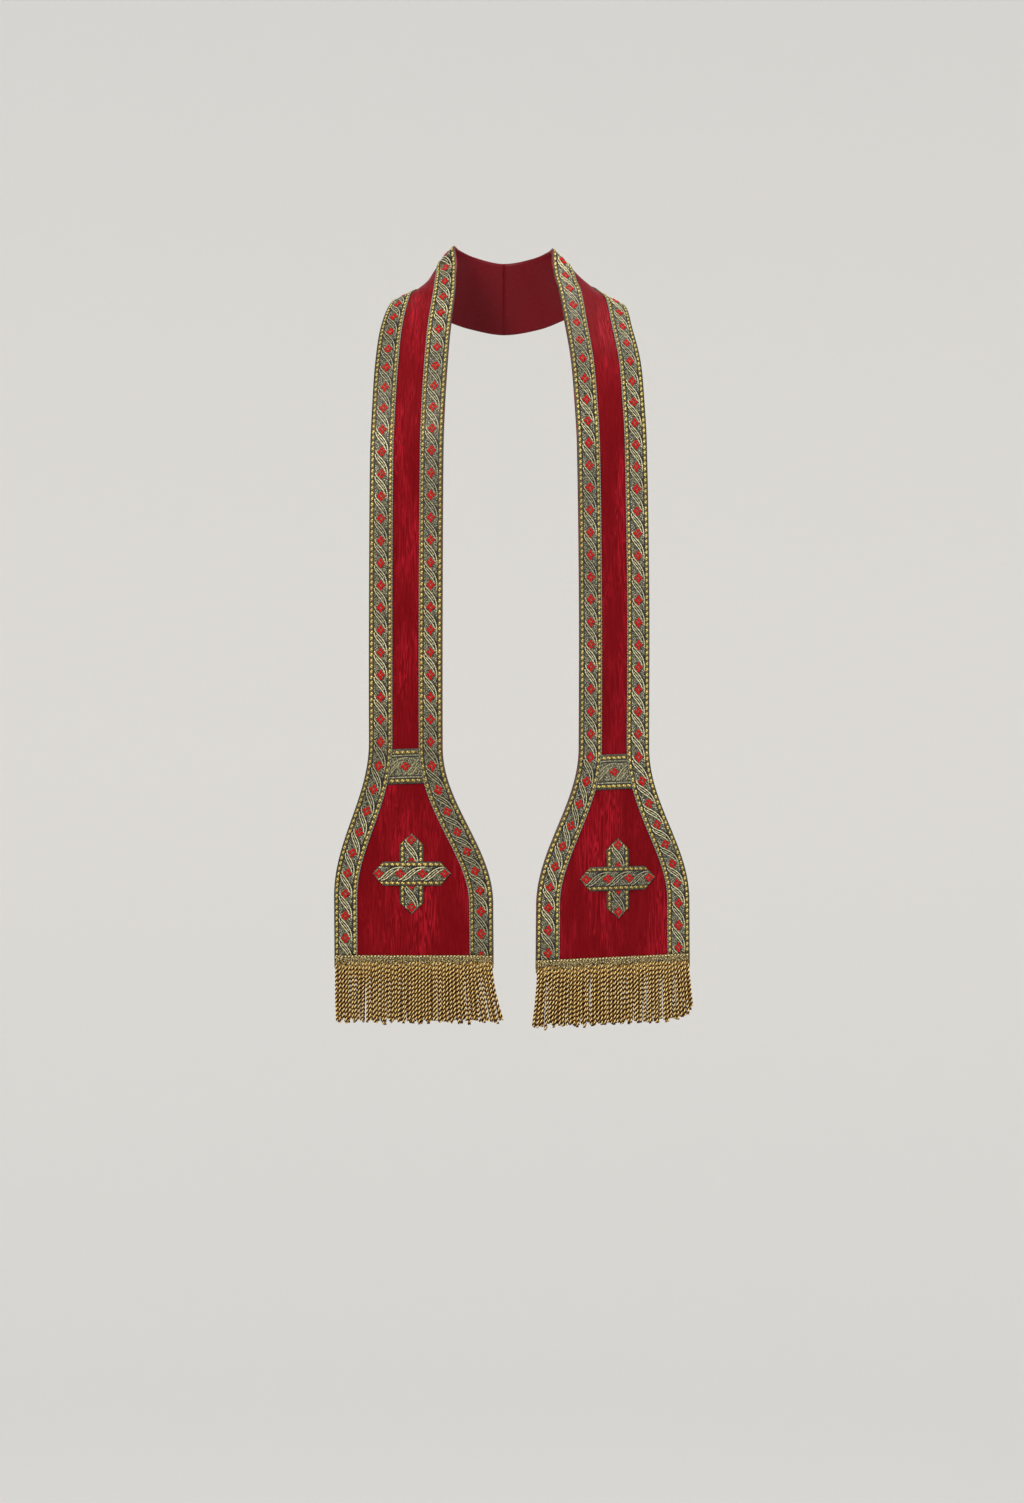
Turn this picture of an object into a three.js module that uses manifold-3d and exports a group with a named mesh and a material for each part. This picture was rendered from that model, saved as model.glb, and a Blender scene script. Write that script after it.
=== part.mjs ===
// Roman stole, worn: a band of red moire silk round the neck, its two halves hanging down the front.
// Millimetres, +Z up, the front faces -Y, +X is the wearer's left.
// The origin is the middle of the band's underside at the centre back of the neck.
// Each half is laid out flat as a pattern: "along" runs from the centre back seam to the hem and "across"
// from the neck side (negative) to the outer side. drape() lays a pattern point on the hanging band.
import * as THREE from 'three';
import { mergeVertices } from 'three/addons/utils/BufferGeometryUtils.js';
import Module from 'manifold-3d';

const wasm = await Module();
wasm.setup();

// Cloth and trim sizes
const BAND_WIDTH = 94;
const PANEL_WALL = 2;
const GALLOON_WIDTH = 30;
const GALLOON_WALL = 1;
const BEAD_CREST = 3.6;
const BEAD_FOOT = 7.2;
const BEAD_RISE = 0.8;
const SEAM_GAP = 0.3;

// Spade end, crossband and cross
const FLARE_LENGTH = 194;
const CROSSBAND_WIDTH = 44;
const CROSSBAND_END_GAP = 0.9;
const CROSS_SPAN = 101;
const CROSS_POINT = 14;
const CROSS_TIP = 0.8;
const BAR_REST = 17;
const BAR_CLIMB = 8;

// Hem, header and fringe
const HEADER_DEPTH = 16;
const HEADER_WALL = 1.4;
const HEADER_LAP = 11;
const CORD_PITCH = 4.3;
const CORD_WIDTH = 2.7;
const CORD_TIP_WIDTH = 2.2;
const CORD_DROPS = [67, 64.5, 66.5, 69, 65.5, 68, 63.5, 67.5, 66, 69.5, 65];
const CORD_STAGGER = 1.1;
const CORD_ROOT_WIDTH = 0.8;
const CORD_ROOT_INSET = 1.5;
const CORD_NECK = 4;
const SPLAY_POWER = 1.4;
const EDGE_SHARE = 3;
const CORNER_SHARE = 12;

// Mesh steps along the band, and the height below which it hangs straight
const CURVED_STEP = 14;
const STRAIGHT_STEP = 28;
const TRIM_STEP = 9;
const STRAIGHT_BELOW = -200;
const PROBE = 0.5;

// Sections of the band over the neck, shoulder and chest, from the centre back down, in the worn pose.
// in_ is the neck edge and out_ the outer edge; crown is how far the middle of the band bows out.
const COLUMNS = ['place', 'inX', 'inY', 'inZ', 'outX', 'outY', 'outZ', 'crown'];
const LEFT_SECTIONS = [
  ['nape', 0, -13, 44, 0, 13, -44, 0],
  ['nape side', 37, -26, 49, 45, 2, -39, 3],
  ['neck side', 57, -54, 54, 79, -16, -29, 6],
  ['shoulder ridge', 61, -80, 53, 108, -39, -19, 9],
  ['over the ridge', 62, -101, 30, 130, -54, -14, 9],
  ['shoulder front', 64, -119, 10, 145, -76, -18, 7],
  ['front shoulder', 69, -133, -7, 155.6, -99, -25, 5],
  ['collarbone', 77.2, -166, -50, 161.5, -129, -54, 3],
  ['upper chest', 84.7, -194, -101, 172, -163, -103, 1],
  ['chest', 89.4, -212, -156, 175.9, -181, -157, 0],
  ['breast', 92.3, -224, -212, 178.4, -192, -212, 0],
  ['waist', 94, -228, -407, 182, -196, -407, 0],
  ['band end', 93.5, -228, -588, 182, -196, -588, 0],
  ['fringe tips', 92, -229, -950, 181.5, -203, -950, 5],
];
const RIGHT_SECTIONS = [
  ['nape', 0, -13, 44, 0, 13, -44, 0],
  ['nape side', -36, -25, 50, -45, 2, -38, 3],
  ['neck side', -57, -50, 57, -80, -17, -29, 6],
  ['shoulder ridge', -62.6, -75, 58, -105, -40, -21, 9],
  ['over the ridge', -61.6, -95, 34, -122, -53, -19, 9],
  ['shoulder front', -61.6, -117, 14, -134, -69, -15, 7],
  ['front shoulder', -62.6, -134, -6, -143, -94, -19, 5],
  ['collarbone', -67, -170, -58, -156.5, -143, -60, 3],
  ['upper chest', -70.6, -198, -110, -162.3, -178, -111, 1],
  ['chest', -73.6, -218, -165, -164.9, -197, -165, 0],
  ['breast', -75.5, -227, -221, -166.7, -208, -222, 0],
  ['waist', -75.5, -230, -407, -169, -212, -407, 0],
  ['band end', -75.5, -230, -588, -169, -212, -588, 0],
  ['fringe tips', -73, -230, -950, -166.5, -212, -950, 5],
];

// The two halves: where the spade end flares and by how much, and where its trims lie, as heights (Z).
const HALVES = [
  {
    name: 'left', side: 1, sections: LEFT_SECTIONS,
    flareTopIn: -592, flareTopOut: -592, flareIn: 55, flareOut: 54,
    crossbandZ: -622, crossbandTilt: -0.035, crossZ: -755.7, crossAcross: 4.5,
    headerZ: -853.5, hemTilt: -0.024, splayIn: 6, splayOut: 6, shortOut: 0.3,
  },
  {
    name: 'right', side: -1, sections: RIGHT_SECTIONS,
    flareTopIn: -592, flareTopOut: -584, flareIn: 63, flareOut: 46,
    crossbandZ: -615, crossbandTilt: 0.035, crossZ: -749.2, crossAcross: -7,
    headerZ: -851, hemTilt: 0.01, splayIn: 14, splayOut: 0, shortOut: 0,
  },
];

const COLOURS = {
  moire: { color: 0x8f1620, roughness: 0.5, metalness: 0 },
  galloon: { color: 0x8a8560, roughness: 0.45, metalness: 0.3 },
  cross: { color: 0x9a9064, roughness: 0.45, metalness: 0.3 },
  fringe: { color: 0xa8863c, roughness: 0.45, metalness: 0.35 },
};

const vector = (x, y, z) => new THREE.Vector3(x, y, z);

// Turns a half's section rows into knots, each with its distance along the middle of the band.
// A knot behind the centre back seam mirrors the first section, so the two halves run on smoothly.
function knotsOf(sections) {
  const rows = sections.map((cells) => Object.fromEntries(COLUMNS.map((column, i) => [column, cells[i]])));
  const knots = rows.map((row) => ({
    inner: vector(row.inX, row.inY, row.inZ),
    outer: vector(row.outX, row.outY, row.outZ),
    crown: row.crown,
    along: 0,
  }));
  const middle = (knot) => knot.inner.clone().add(knot.outer).multiplyScalar(0.5);
  for (let i = 1; i < knots.length; i += 1) {
    knots[i].along = knots[i - 1].along + middle(knots[i]).distanceTo(middle(knots[i - 1]));
  }
  const mirrored = (point) => vector(-point.x, point.y, point.z);
  const first = knots[1];
  const behind = {
    inner: mirrored(first.inner), outer: mirrored(first.outer), crown: first.crown, along: -first.along,
  };
  return [behind, ...knots];
}

// Smooth value between knots: a cubic whose slope at a knot is that of the chord between its neighbours.
function between(knots, along, read) {
  const last = knots.length - 1;
  let i = 1;
  while (i < last - 1 && along > knots[i + 1].along) i += 1;
  const span = knots[i + 1].along - knots[i].along;
  const t = (along - knots[i].along) / span;
  const slope = (k) => {
    const before = Math.max(k - 1, 0);
    const after = Math.min(k + 1, last);
    return (read(knots[after]) - read(knots[before])) / (knots[after].along - knots[before].along);
  };
  const t2 = t * t;
  const t3 = t2 * t;
  return (2 * t3 - 3 * t2 + 1) * read(knots[i]) + (t3 - 2 * t2 + t) * span * slope(i)
    + (3 * t2 - 2 * t3) * read(knots[i + 1]) + (t3 - t2) * span * slope(i + 1);
}

const smooth = (t) => (1 - Math.cos(Math.PI * Math.min(Math.max(t, 0), 1))) / 2;

// A half with its knots, its lengths along the pattern and its widths.
function cut(half) {
  const knots = knotsOf(half.sections);
  const bandEnd = knots[knots.length - 2];
  const alongAt = (z) => bandEnd.along + (bandEnd.inner.z - z);
  const flareStart = alongAt(Math.max(half.flareTopIn, half.flareTopOut));
  return { ...half, knots, alongAt, flareStart, headerAlong: alongAt(half.headerZ) };
}

// Half width of the pattern on its neck side (sign -1) or outer side (sign 1).
function halfWidth(half, along, sign) {
  const flare = sign < 0 ? half.flareIn : half.flareOut;
  const start = half.alongAt(sign < 0 ? half.flareTopIn : half.flareTopOut);
  return BAND_WIDTH / 2 + flare * smooth((along - start) / FLARE_LENGTH);
}

// Point on the panel's underside for a pattern point.
function underside(half, along, across) {
  const fall = smooth((along - half.flareStart) / (half.headerAlong - half.flareStart));
  const at = along + across * half.hemTilt * fall;
  const read = (key, axis) => between(half.knots, at, (knot) => knot[key][axis]);
  const inner = vector(read('inner', 'x'), read('inner', 'y'), read('inner', 'z'));
  const outer = vector(read('outer', 'x'), read('outer', 'y'), read('outer', 'z'));
  const sideways = outer.clone().sub(inner).normalize();
  const bow = between(half.knots, at, (knot) => knot.crown);
  const share = across / halfWidth(half, along, Math.sign(across) || 1);
  const middleAt = (d, axis) => between(half.knots, d, (knot) => (knot.inner[axis] + knot.outer[axis]) / 2);
  const down = (axis) => middleAt(at + PROBE, axis) - middleAt(at - PROBE, axis);
  const outward = vector(down('x'), down('y'), down('z')).cross(sideways).normalize();
  const middle = inner.add(outer).multiplyScalar(0.5).addScaledVector(sideways, across);
  return middle.addScaledVector(outward, half.side * bow * (1 - share * share));
}

// Pattern point laid on the hanging band, lifted off the panel's underside.
function drape(half, along, across, lift) {
  const point = underside(half, along, across);
  const down = underside(half, along + PROBE, across).sub(underside(half, along - PROBE, across));
  const out = underside(half, along, across + PROBE).sub(underside(half, along, across - PROBE));
  return point.addScaledVector(down.cross(out).normalize(), lift * half.side);
}

// Closed body through sections that all have as many corners. A section has an upper and a lower chain of
// corners, each from one side of the strip to the other; the two chains are zipped together at the ends.
// Faces above and below are split along the same diagonal, so that strips laid on each other stay parallel.
function loft(sections) {
  const { upper, lower } = sections[0];
  const count = upper.length + lower.length;
  const rings = sections.map((section) => [...section.upper, ...[...section.lower].reverse()]);
  const positions = rings.flat().flatMap((point) => [point.x, point.y, point.z]);
  const last = (rings.length - 1) * count;
  const index = [];
  let i = 0;
  let j = 0;
  while (i < upper.length - 1 || j < lower.length - 1) {
    const upperLeft = (upper.length - 1 - i) / upper.length;
    const lowerLeft = (lower.length - 1 - j) / lower.length;
    const onUpper = upperLeft >= lowerLeft;
    const a = i;
    const b = onUpper ? i + 1 : count - 2 - j;
    const c = count - 1 - j;
    index.push(a, b, c, last + a, last + c, last + b);
    i += onUpper ? 1 : 0;
    j += onUpper ? 0 : 1;
  }
  for (let r = 0; r < rings.length - 1; r += 1) {
    const here = r * count;
    const next = here + count;
    for (let k = 0; k < count; k += 1) {
      const m = (k + 1) % count;
      if (k < upper.length) index.push(here + k, next + k, next + m, here + k, next + m, here + m);
      else index.push(here + k, next + k, here + m, next + k, next + m, here + m);
    }
  }
  return outwards(positions, index);
}

// Geometry with its faces turned outwards, told by the sign of the enclosed volume.
function outwards(positions, index) {
  const at = (i) => vector(positions[3 * i], positions[3 * i + 1], positions[3 * i + 2]);
  let volume = 0;
  for (let i = 0; i < index.length; i += 3) {
    volume += at(index[i]).dot(at(index[i + 1]).cross(at(index[i + 2])));
  }
  const faces = volume > 0 ? index : index.map((_, i) => index[i - (i % 3) + ((3 - (i % 3)) % 3)]);
  const geometry = new THREE.BufferGeometry();
  geometry.setAttribute('position', new THREE.Float32BufferAttribute(positions, 3));
  geometry.setIndex(faces);
  return geometry;
}

// Distances from one end to the other, no further apart than the step.
function steps(from, to, step) {
  const count = Math.max(1, Math.ceil((to - from) / step));
  return Array.from({ length: count + 1 }, (_, i) => from + ((to - from) * i) / count);
}

// Rows shared by the panel and its edge galloons: close over the shoulder, wider where the band hangs.
function rowsOf(half) {
  const breast = half.knots.find((knot) => knot.inner.z < STRAIGHT_BELOW).along;
  const curved = steps(SEAM_GAP / 2, breast, CURVED_STEP);
  const straight = steps(breast, half.flareStart, STRAIGHT_STEP);
  const spade = steps(half.flareStart, half.headerAlong - SEAM_GAP, STRAIGHT_STEP / 2);
  return [...curved, ...straight.slice(1), ...spade.slice(1)];
}

// Width across the pattern of an edge galloon, wider where the edge runs aslant.
function galloonReach(half, along, sign) {
  const rise = halfWidth(half, along + PROBE, sign) - halfWidth(half, along - PROBE, sign);
  return GALLOON_WIDTH * Math.hypot(1, rise / (2 * PROBE));
}

// Red silk half of the band: one wall, whose columns follow the galloons' edges.
function panel(half) {
  const columns = (along) => {
    const left = halfWidth(half, along, -1);
    const right = halfWidth(half, along, 1);
    const reachIn = galloonReach(half, along, -1);
    const reachOut = galloonReach(half, along, 1);
    return [
      -left, -left + reachIn / 2, -left + reachIn, (right - reachOut - left + reachIn) / 2,
      right - reachOut, right - reachOut / 2, right,
    ];
  };
  const section = (along) => ({
    upper: columns(along).map((a) => drape(half, along, a, PANEL_WALL)),
    lower: columns(along).map((a) => drape(half, along, a, 0)),
  });
  return loft([...rowsOf(half), half.headerAlong + HEADER_LAP].map(section));
}

// Section of a woven trim: a low edge and a raised bead row on both sides of a flat field. lay() puts a
// corner, given by its distance from the trim's edge and its lift, in its place.
function trimSection(width, foot, lay) {
  const share = Math.min(width / GALLOON_WIDTH, 1);
  const top = foot + GALLOON_WALL;
  const crest = top + BEAD_RISE * share;
  const upper = [
    [0, top], [BEAD_CREST * share, crest], [BEAD_FOOT * share, top],
    [width - BEAD_FOOT * share, top], [width - BEAD_CREST * share, crest], [width, top],
  ];
  const lower = [[0, foot], [width / 2, foot], [width, foot]];
  const place = ([offset, lift]) => lay(offset, lift);
  return { upper: upper.map(place), lower: lower.map(place) };
}

// Galloon along the neck edge (sign -1) or the outer edge (sign 1) of the panel.
function edgeGalloon(half, sign) {
  const section = (along) => {
    const reach = galloonReach(half, along, sign);
    const edge = sign * halfWidth(half, along, sign);
    const start = sign < 0 ? edge : edge - reach;
    const lay = (offset, lift) => drape(half, along, start + offset, lift);
    return trimSection(reach, PANEL_WALL + SEAM_GAP, lay);
  };
  return loft(rowsOf(half).map(section));
}

// Wider galloon across the top of the spade end, let in between the two edge galloons.
function crossband(half) {
  const top = half.alongAt(half.crossbandZ) - CROSSBAND_WIDTH / 2;
  const limit = (along, sign) => {
    const reach = galloonReach(half, along, sign) + CROSSBAND_END_GAP;
    return sign * (halfWidth(half, along, sign) - reach);
  };
  const section = (share) => trimSection(CROSSBAND_WIDTH, PANEL_WALL + SEAM_GAP, (offset, lift) => {
    const level = top + offset;
    const rough = THREE.MathUtils.lerp(limit(level, -1), limit(level, 1), share);
    const along = level + rough * half.crossbandTilt;
    const across = THREE.MathUtils.lerp(limit(along, -1), limit(along, 1), share);
    return drape(half, along, across, lift);
  });
  return loft(steps(0, 1, 0.25).map(section));
}

// Strip of galloon with pointed ends, laid along the pattern (upright) or across it (bar).
function crossArm(half, laidAcross, footOf) {
  const middle = half.alongAt(half.crossZ);
  const widthAt = (d) => {
    const fromTip = CROSS_SPAN / 2 - Math.abs(d);
    return Math.max(CROSS_TIP, GALLOON_WIDTH * Math.min(fromTip / CROSS_POINT, 1));
  };
  const shoulder = CROSS_SPAN / 2 - CROSS_POINT;
  const stations = [
    -CROSS_SPAN / 2, ...steps(-shoulder, shoulder, TRIM_STEP), CROSS_SPAN / 2,
  ];
  const section = (d) => trimSection(widthAt(d), footOf(d), (offset, lift) => {
    const off = offset - widthAt(d) / 2;
    const along = laidAcross ? off : d;
    const across = laidAcross ? d : off;
    return drape(half, middle + along, half.crossAcross + across, lift);
  });
  return loft(stations.map(section));
}

// Fringe: a woven header over the hem, with cords that hang from its lower edge.
function fringe(half) {
  const foot = PANEL_WALL + SEAM_GAP;
  const top = half.headerAlong;
  const bottom = top + HEADER_DEPTH;
  const edgeIn = -halfWidth(half, top, -1);
  const edgeOut = halfWidth(half, top, 1);
  const headerSection = (across) => ({
    upper: [top, bottom].map((along) => drape(half, along, across, foot + HEADER_WALL)),
    lower: [top, bottom].map((along) => drape(half, along, across, foot)),
  });
  let body = solid(loft(steps(edgeIn, edgeOut, TRIM_STEP).map(headerSection)));
  const count = Math.floor((edgeOut - edgeIn - CORD_WIDTH) / CORD_PITCH);
  const first = (edgeIn + edgeOut - count * CORD_PITCH) / 2;
  for (let i = 0; i <= count; i += 1) {
    body = body.add(solid(cord(half, first + i * CORD_PITCH, bottom, i)));
  }
  return unpack(body);
}

// One hanging cord, four-sided, its root inside the header.
function cord(half, across, bottom, number) {
  const share = across / halfWidth(half, half.headerAlong, Math.sign(across));
  const lean = (across < 0 ? half.splayIn : half.splayOut) * share ** EDGE_SHARE;
  const short = across < 0 ? 0 : half.shortOut * share ** CORNER_SHARE;
  const drop = CORD_DROPS[number % CORD_DROPS.length] * (1 - short);
  const level = PANEL_WALL + SEAM_GAP + HEADER_WALL / 2;
  const stagger = number % 2 === 0 ? CORD_STAGGER : 0;
  const section = ([fall, width]) => {
    const part = Math.max(fall, 0) / drop;
    const sink = stagger * smooth(part * 2);
    const middle = across + lean * part ** SPLAY_POWER;
    const radius = width / 2;
    const corner = ([x, y]) => drape(half, bottom + fall, middle + x * radius, level - sink + y * radius);
    return { upper: [[-1, 0], [0, 1], [1, 0]].map(corner), lower: [corner([0, -1])] };
  };
  const stations = [
    [-CORD_ROOT_INSET, CORD_ROOT_WIDTH],
    [CORD_NECK, CORD_WIDTH],
    [drop / 2, CORD_WIDTH],
    [drop, CORD_TIP_WIDTH],
  ];
  return loft(stations.map(section));
}

// Closed geometry as a solid for joining.
function solid(geometry) {
  const merged = mergeVertices(geometry, 1e-4);
  return new wasm.Manifold(new wasm.Mesh({
    numProp: 3,
    vertProperties: new Float32Array(merged.attributes.position.array),
    triVerts: new Uint32Array(merged.index.array),
  }));
}

// Joined solid back to a geometry.
function unpack(body) {
  const mesh = body.getMesh();
  return outwards(Array.from(mesh.vertProperties), Array.from(mesh.triVerts));
}

const group = new THREE.Group();

function add(name, geometry, finish) {
  const mesh = new THREE.Mesh(geometry, new THREE.MeshStandardMaterial(COLOURS[finish]));
  mesh.name = name;
  group.add(mesh);
}

for (const plan of HALVES) {
  const half = cut(plan);
  const laid = PANEL_WALL + SEAM_GAP;
  const over = GALLOON_WALL + BEAD_RISE + SEAM_GAP;
  const barFoot = (d) => laid + over * smooth(1 - (Math.abs(d) - BAR_REST) / BAR_CLIMB);
  add(`panel_${half.name}`, panel(half), 'moire');
  add(`galloon_inner_${half.name}`, edgeGalloon(half, -1), 'galloon');
  add(`galloon_outer_${half.name}`, edgeGalloon(half, 1), 'galloon');
  add(`crossband_${half.name}`, crossband(half), 'galloon');
  add(`cross_upright_${half.name}`, crossArm(half, false, () => laid), 'cross');
  add(`cross_bar_${half.name}`, crossArm(half, true, barFoot), 'cross');
  add(`fringe_${half.name}`, fringe(half), 'fringe');
}

export default group;
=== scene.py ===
"""Roman stole, worn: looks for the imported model. Lengths are millimetres, and become metres in piece()."""
import math

import bmesh
import bpy
import numpy as np
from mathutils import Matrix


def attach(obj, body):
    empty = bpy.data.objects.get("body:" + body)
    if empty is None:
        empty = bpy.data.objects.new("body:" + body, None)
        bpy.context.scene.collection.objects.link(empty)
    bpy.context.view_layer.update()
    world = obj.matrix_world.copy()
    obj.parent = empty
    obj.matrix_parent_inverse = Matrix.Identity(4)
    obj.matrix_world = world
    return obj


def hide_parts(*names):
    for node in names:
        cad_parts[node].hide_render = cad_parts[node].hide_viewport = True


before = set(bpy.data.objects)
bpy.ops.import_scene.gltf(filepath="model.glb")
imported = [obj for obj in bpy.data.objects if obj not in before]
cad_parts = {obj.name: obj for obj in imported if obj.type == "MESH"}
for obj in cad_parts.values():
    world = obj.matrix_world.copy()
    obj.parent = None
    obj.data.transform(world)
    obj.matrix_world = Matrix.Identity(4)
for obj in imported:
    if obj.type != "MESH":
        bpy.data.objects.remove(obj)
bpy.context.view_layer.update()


# The band
# Two long halves of red moire silk over interlining, joined by a seam at the centre back. Each is cut as a
# narrow strip with a spade-shaped end and hangs as it was laid round the neck and over the shoulders.

BAND_WIDTH = 94
PANEL_WALL = 2
SEAM_GAP = 0.3
FLARE_LENGTH = 194
HEADER_LAP = 11
# Half the step over which slopes are measured.
PROBE = 0.5

# Each place along the left half and the right half: x, y and z of the inner edge, then of the outer edge, and
# how far the middle is crowned above the straight line between them.
SECTIONS = (
    ("nape", (0, -13, 44, 0, 13, -44, 0), (0, -13, 44, 0, 13, -44, 0)),
    ("nape side", (37, -26, 49, 45, 2, -39, 3), (-36, -25, 50, -45, 2, -38, 3)),
    ("neck side", (57, -54, 54, 79, -16, -29, 6), (-57, -50, 57, -80, -17, -29, 6)),
    ("shoulder ridge", (61, -80, 53, 108, -39, -19, 9), (-62.6, -75, 58, -105, -40, -21, 9)),
    ("over the ridge", (62, -101, 30, 130, -54, -14, 9), (-61.6, -95, 34, -122, -53, -19, 9)),
    ("shoulder front", (64, -119, 10, 145, -76, -18, 7), (-61.6, -117, 14, -134, -69, -15, 7)),
    ("front shoulder", (69, -133, -7, 155.6, -99, -25, 5), (-62.6, -134, -6, -143, -94, -19, 5)),
    ("collarbone", (77.2, -166, -50, 161.5, -129, -54, 3), (-67, -170, -58, -156.5, -143, -60, 3)),
    ("upper chest", (84.7, -194, -101, 172, -163, -103, 1), (-70.6, -198, -110, -162.3, -178, -111, 1)),
    ("chest", (89.4, -212, -156, 175.9, -181, -157, 0), (-73.6, -218, -165, -164.9, -197, -165, 0)),
    ("breast", (92.3, -224, -212, 178.4, -192, -212, 0), (-75.5, -227, -221, -166.7, -208, -222, 0)),
    ("waist", (94, -228, -407, 182, -196, -407, 0), (-75.5, -230, -407, -169, -212, -407, 0)),
    ("band end", (93.5, -228, -588, 182, -196, -588, 0), (-75.5, -230, -588, -169, -212, -588, 0)),
    ("fringe tips", (92, -229, -950, 181.5, -203, -950, 5), (-73, -230, -950, -166.5, -212, -950, 5)),
)

# Soft troughs (depth above 0) and ridges (below 0) of the hanging cloth. z is the height of the middle,
# across its place from the band's middle towards the outer edge, slant its drift outwards down its length.
FADE_ALONG = 1.6
FADE_ACROSS = 1.2
CREASES = {
    "left": (
        # z, across, length, width, depth, slant
        (20, 6, 120, 42, 2.2, 12),
        (-95, -14, 170, 34, 1.3, 10),
        (-250, 18, 230, 40, 0.9, -14),
        (-430, -10, 260, 44, 1.0, 8),
        (-600, 10, 150, 36, 0.9, -6),
        (-700, -38, 190, 40, 2.4, -22),
        (-740, 30, 210, 46, 1.8, 14),
        (-800, -62, 130, 34, -1.6, -4),
        (-825, 72, 110, 30, 1.4, 4),
    ),
    "right": (
        (16, 8, 110, 40, 2.0, 10),
        (-120, 12, 160, 36, 1.2, -8),
        (-300, -16, 240, 42, 1.0, 10),
        (-480, 14, 230, 40, 0.8, -10),
        (-705, 34, 180, 42, 1.9, 18),
        (-750, -44, 220, 44, 1.6, -16),
        (-810, 70, 120, 32, -1.5, 2),
        (-830, -80, 100, 30, 1.5, -2),
    ),
}


def smooth(t):
    return (1 - np.cos(np.pi * np.clip(t, 0, 1))) / 2


class Half:
    """One half of the stole, laid out flat: along runs down from the centre back seam, across outwards."""

    def __init__(self, name, side, flare_top_in, flare_top_out, flare_in, flare_out, header_z, hem_tilt):
        values = np.array([row[1 if side > 0 else 2] for row in SECTIONS], float)
        middle = (values[:, 0:3] + values[:, 3:6]) / 2
        along = np.concatenate(([0], np.cumsum(np.linalg.norm(np.diff(middle, axis=0), axis=1))))
        behind = values[1] * np.array([-1, 1, 1, -1, 1, 1, 1])
        self.name, self.side = name, side
        self.knots = np.concatenate(([-along[1]], along))
        self.values = np.vstack((behind, values))
        here = np.arange(len(self.knots))
        before, after = np.clip(here - 1, 0, None), np.clip(here + 1, None, here[-1])
        spans = (self.knots[after] - self.knots[before])[:, None]
        self.slopes = (self.values[after] - self.values[before]) / spans
        self.flare = {
            -1: (self.along_at(flare_top_in), flare_in), 1: (self.along_at(flare_top_out), flare_out),
        }
        self.flare_start = min(start for start, _ in self.flare.values())
        self.header = self.along_at(header_z)
        self.hem_tilt = hem_tilt
        self.creases = [(self.near(z), *rest) for z, *rest in CREASES[name]]

    def along_at(self, z):
        return self.knots[-2] + (self.values[-2][2] - z)

    def near(self, z):
        """Distance along the band at which its front hangs at that height."""
        heights = (self.values[:, 2] + self.values[:, 5]) / 2
        front = slice(4, None)
        return np.interp(-z, -heights[front], self.knots[front])

    def between(self, along):
        i = np.clip(np.searchsorted(self.knots, along, side="left") - 1, 1, len(self.knots) - 2)
        span = (self.knots[i + 1] - self.knots[i])[:, None]
        t = (along - self.knots[i])[:, None] / span
        t2, t3 = t * t, t * t * t
        return (
            (2 * t3 - 3 * t2 + 1) * self.values[i] + (t3 - 2 * t2 + t) * span * self.slopes[i]
            + (3 * t2 - 2 * t3) * self.values[i + 1] + (t3 - t2) * span * self.slopes[i + 1]
        )

    def width(self, along, sign):
        """Half width on the neck side (sign -1) or on the outer side (sign 1)."""
        start, flare = self.flare[sign]
        return BAND_WIDTH / 2 + flare * smooth((along - start) / FLARE_LENGTH)

    def relief(self, along, across):
        depth = np.zeros_like(along)
        for at, middle, length, width, deep, slant in self.creases:
            run = (along - at) / (length / 2)
            aside = (across - middle - slant * run) / (width / 2)
            depth += deep * np.exp(-FADE_ALONG * run * run) * np.exp(-FADE_ACROSS * aside * aside)
        return depth

    def underside(self, along, across):
        fall = smooth((along - self.flare_start) / (self.header - self.flare_start))
        at = along + across * self.hem_tilt * fall
        row = self.between(at)
        sideways = row[:, 3:6] - row[:, 0:3]
        sideways /= np.linalg.norm(sideways, axis=1)[:, None]
        share = across / np.where(across < 0, self.width(along, -1), self.width(along, 1))
        ahead = self.between(at + PROBE) - self.between(at - PROBE)
        outward = np.cross(ahead[:, 0:3] + ahead[:, 3:6], sideways)
        outward /= np.linalg.norm(outward, axis=1)[:, None]
        rise = row[:, 6] * (1 - share * share) - self.relief(along, across)
        middle = (row[:, 0:3] + row[:, 3:6]) / 2
        return middle + sideways * across[:, None] + outward * (self.side * rise)[:, None]

    def drape(self, along, across, lift):
        """Pattern points laid on the hanging band, lifted off its underside."""
        along, across, lift = (np.asarray(v, float) for v in np.broadcast_arrays(along, across, lift))
        down = self.underside(along + PROBE, across) - self.underside(along - PROBE, across)
        out = self.underside(along, across + PROBE) - self.underside(along, across - PROBE)
        normal = np.cross(down, out)
        normal /= np.linalg.norm(normal, axis=1)[:, None]
        return self.underside(along, across) + normal * (self.side * lift)[:, None]


HALVES = (
    Half("left", 1, -592, -592, 55, 54, -853.5, -0.024),
    Half("right", -1, -592, -584, 63, 46, -851, 0.01),
)


def linear(hex_colour):
    """An sRGB hex value as a linear colour."""
    parts = [int(hex_colour[i:i + 2], 16) / 255 for i in (1, 3, 5)]
    return (*[c / 12.92 if c <= 0.04045 else ((c + 0.055) / 1.055) ** 2.4 for c in parts], 1)


def joined(tree, made, links):
    """Makes links (source, output, input) into a node, and returns the node."""
    for source, output, socket in links:
        tree.links.new(source.outputs[output], made.inputs[socket])
    return made


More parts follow.
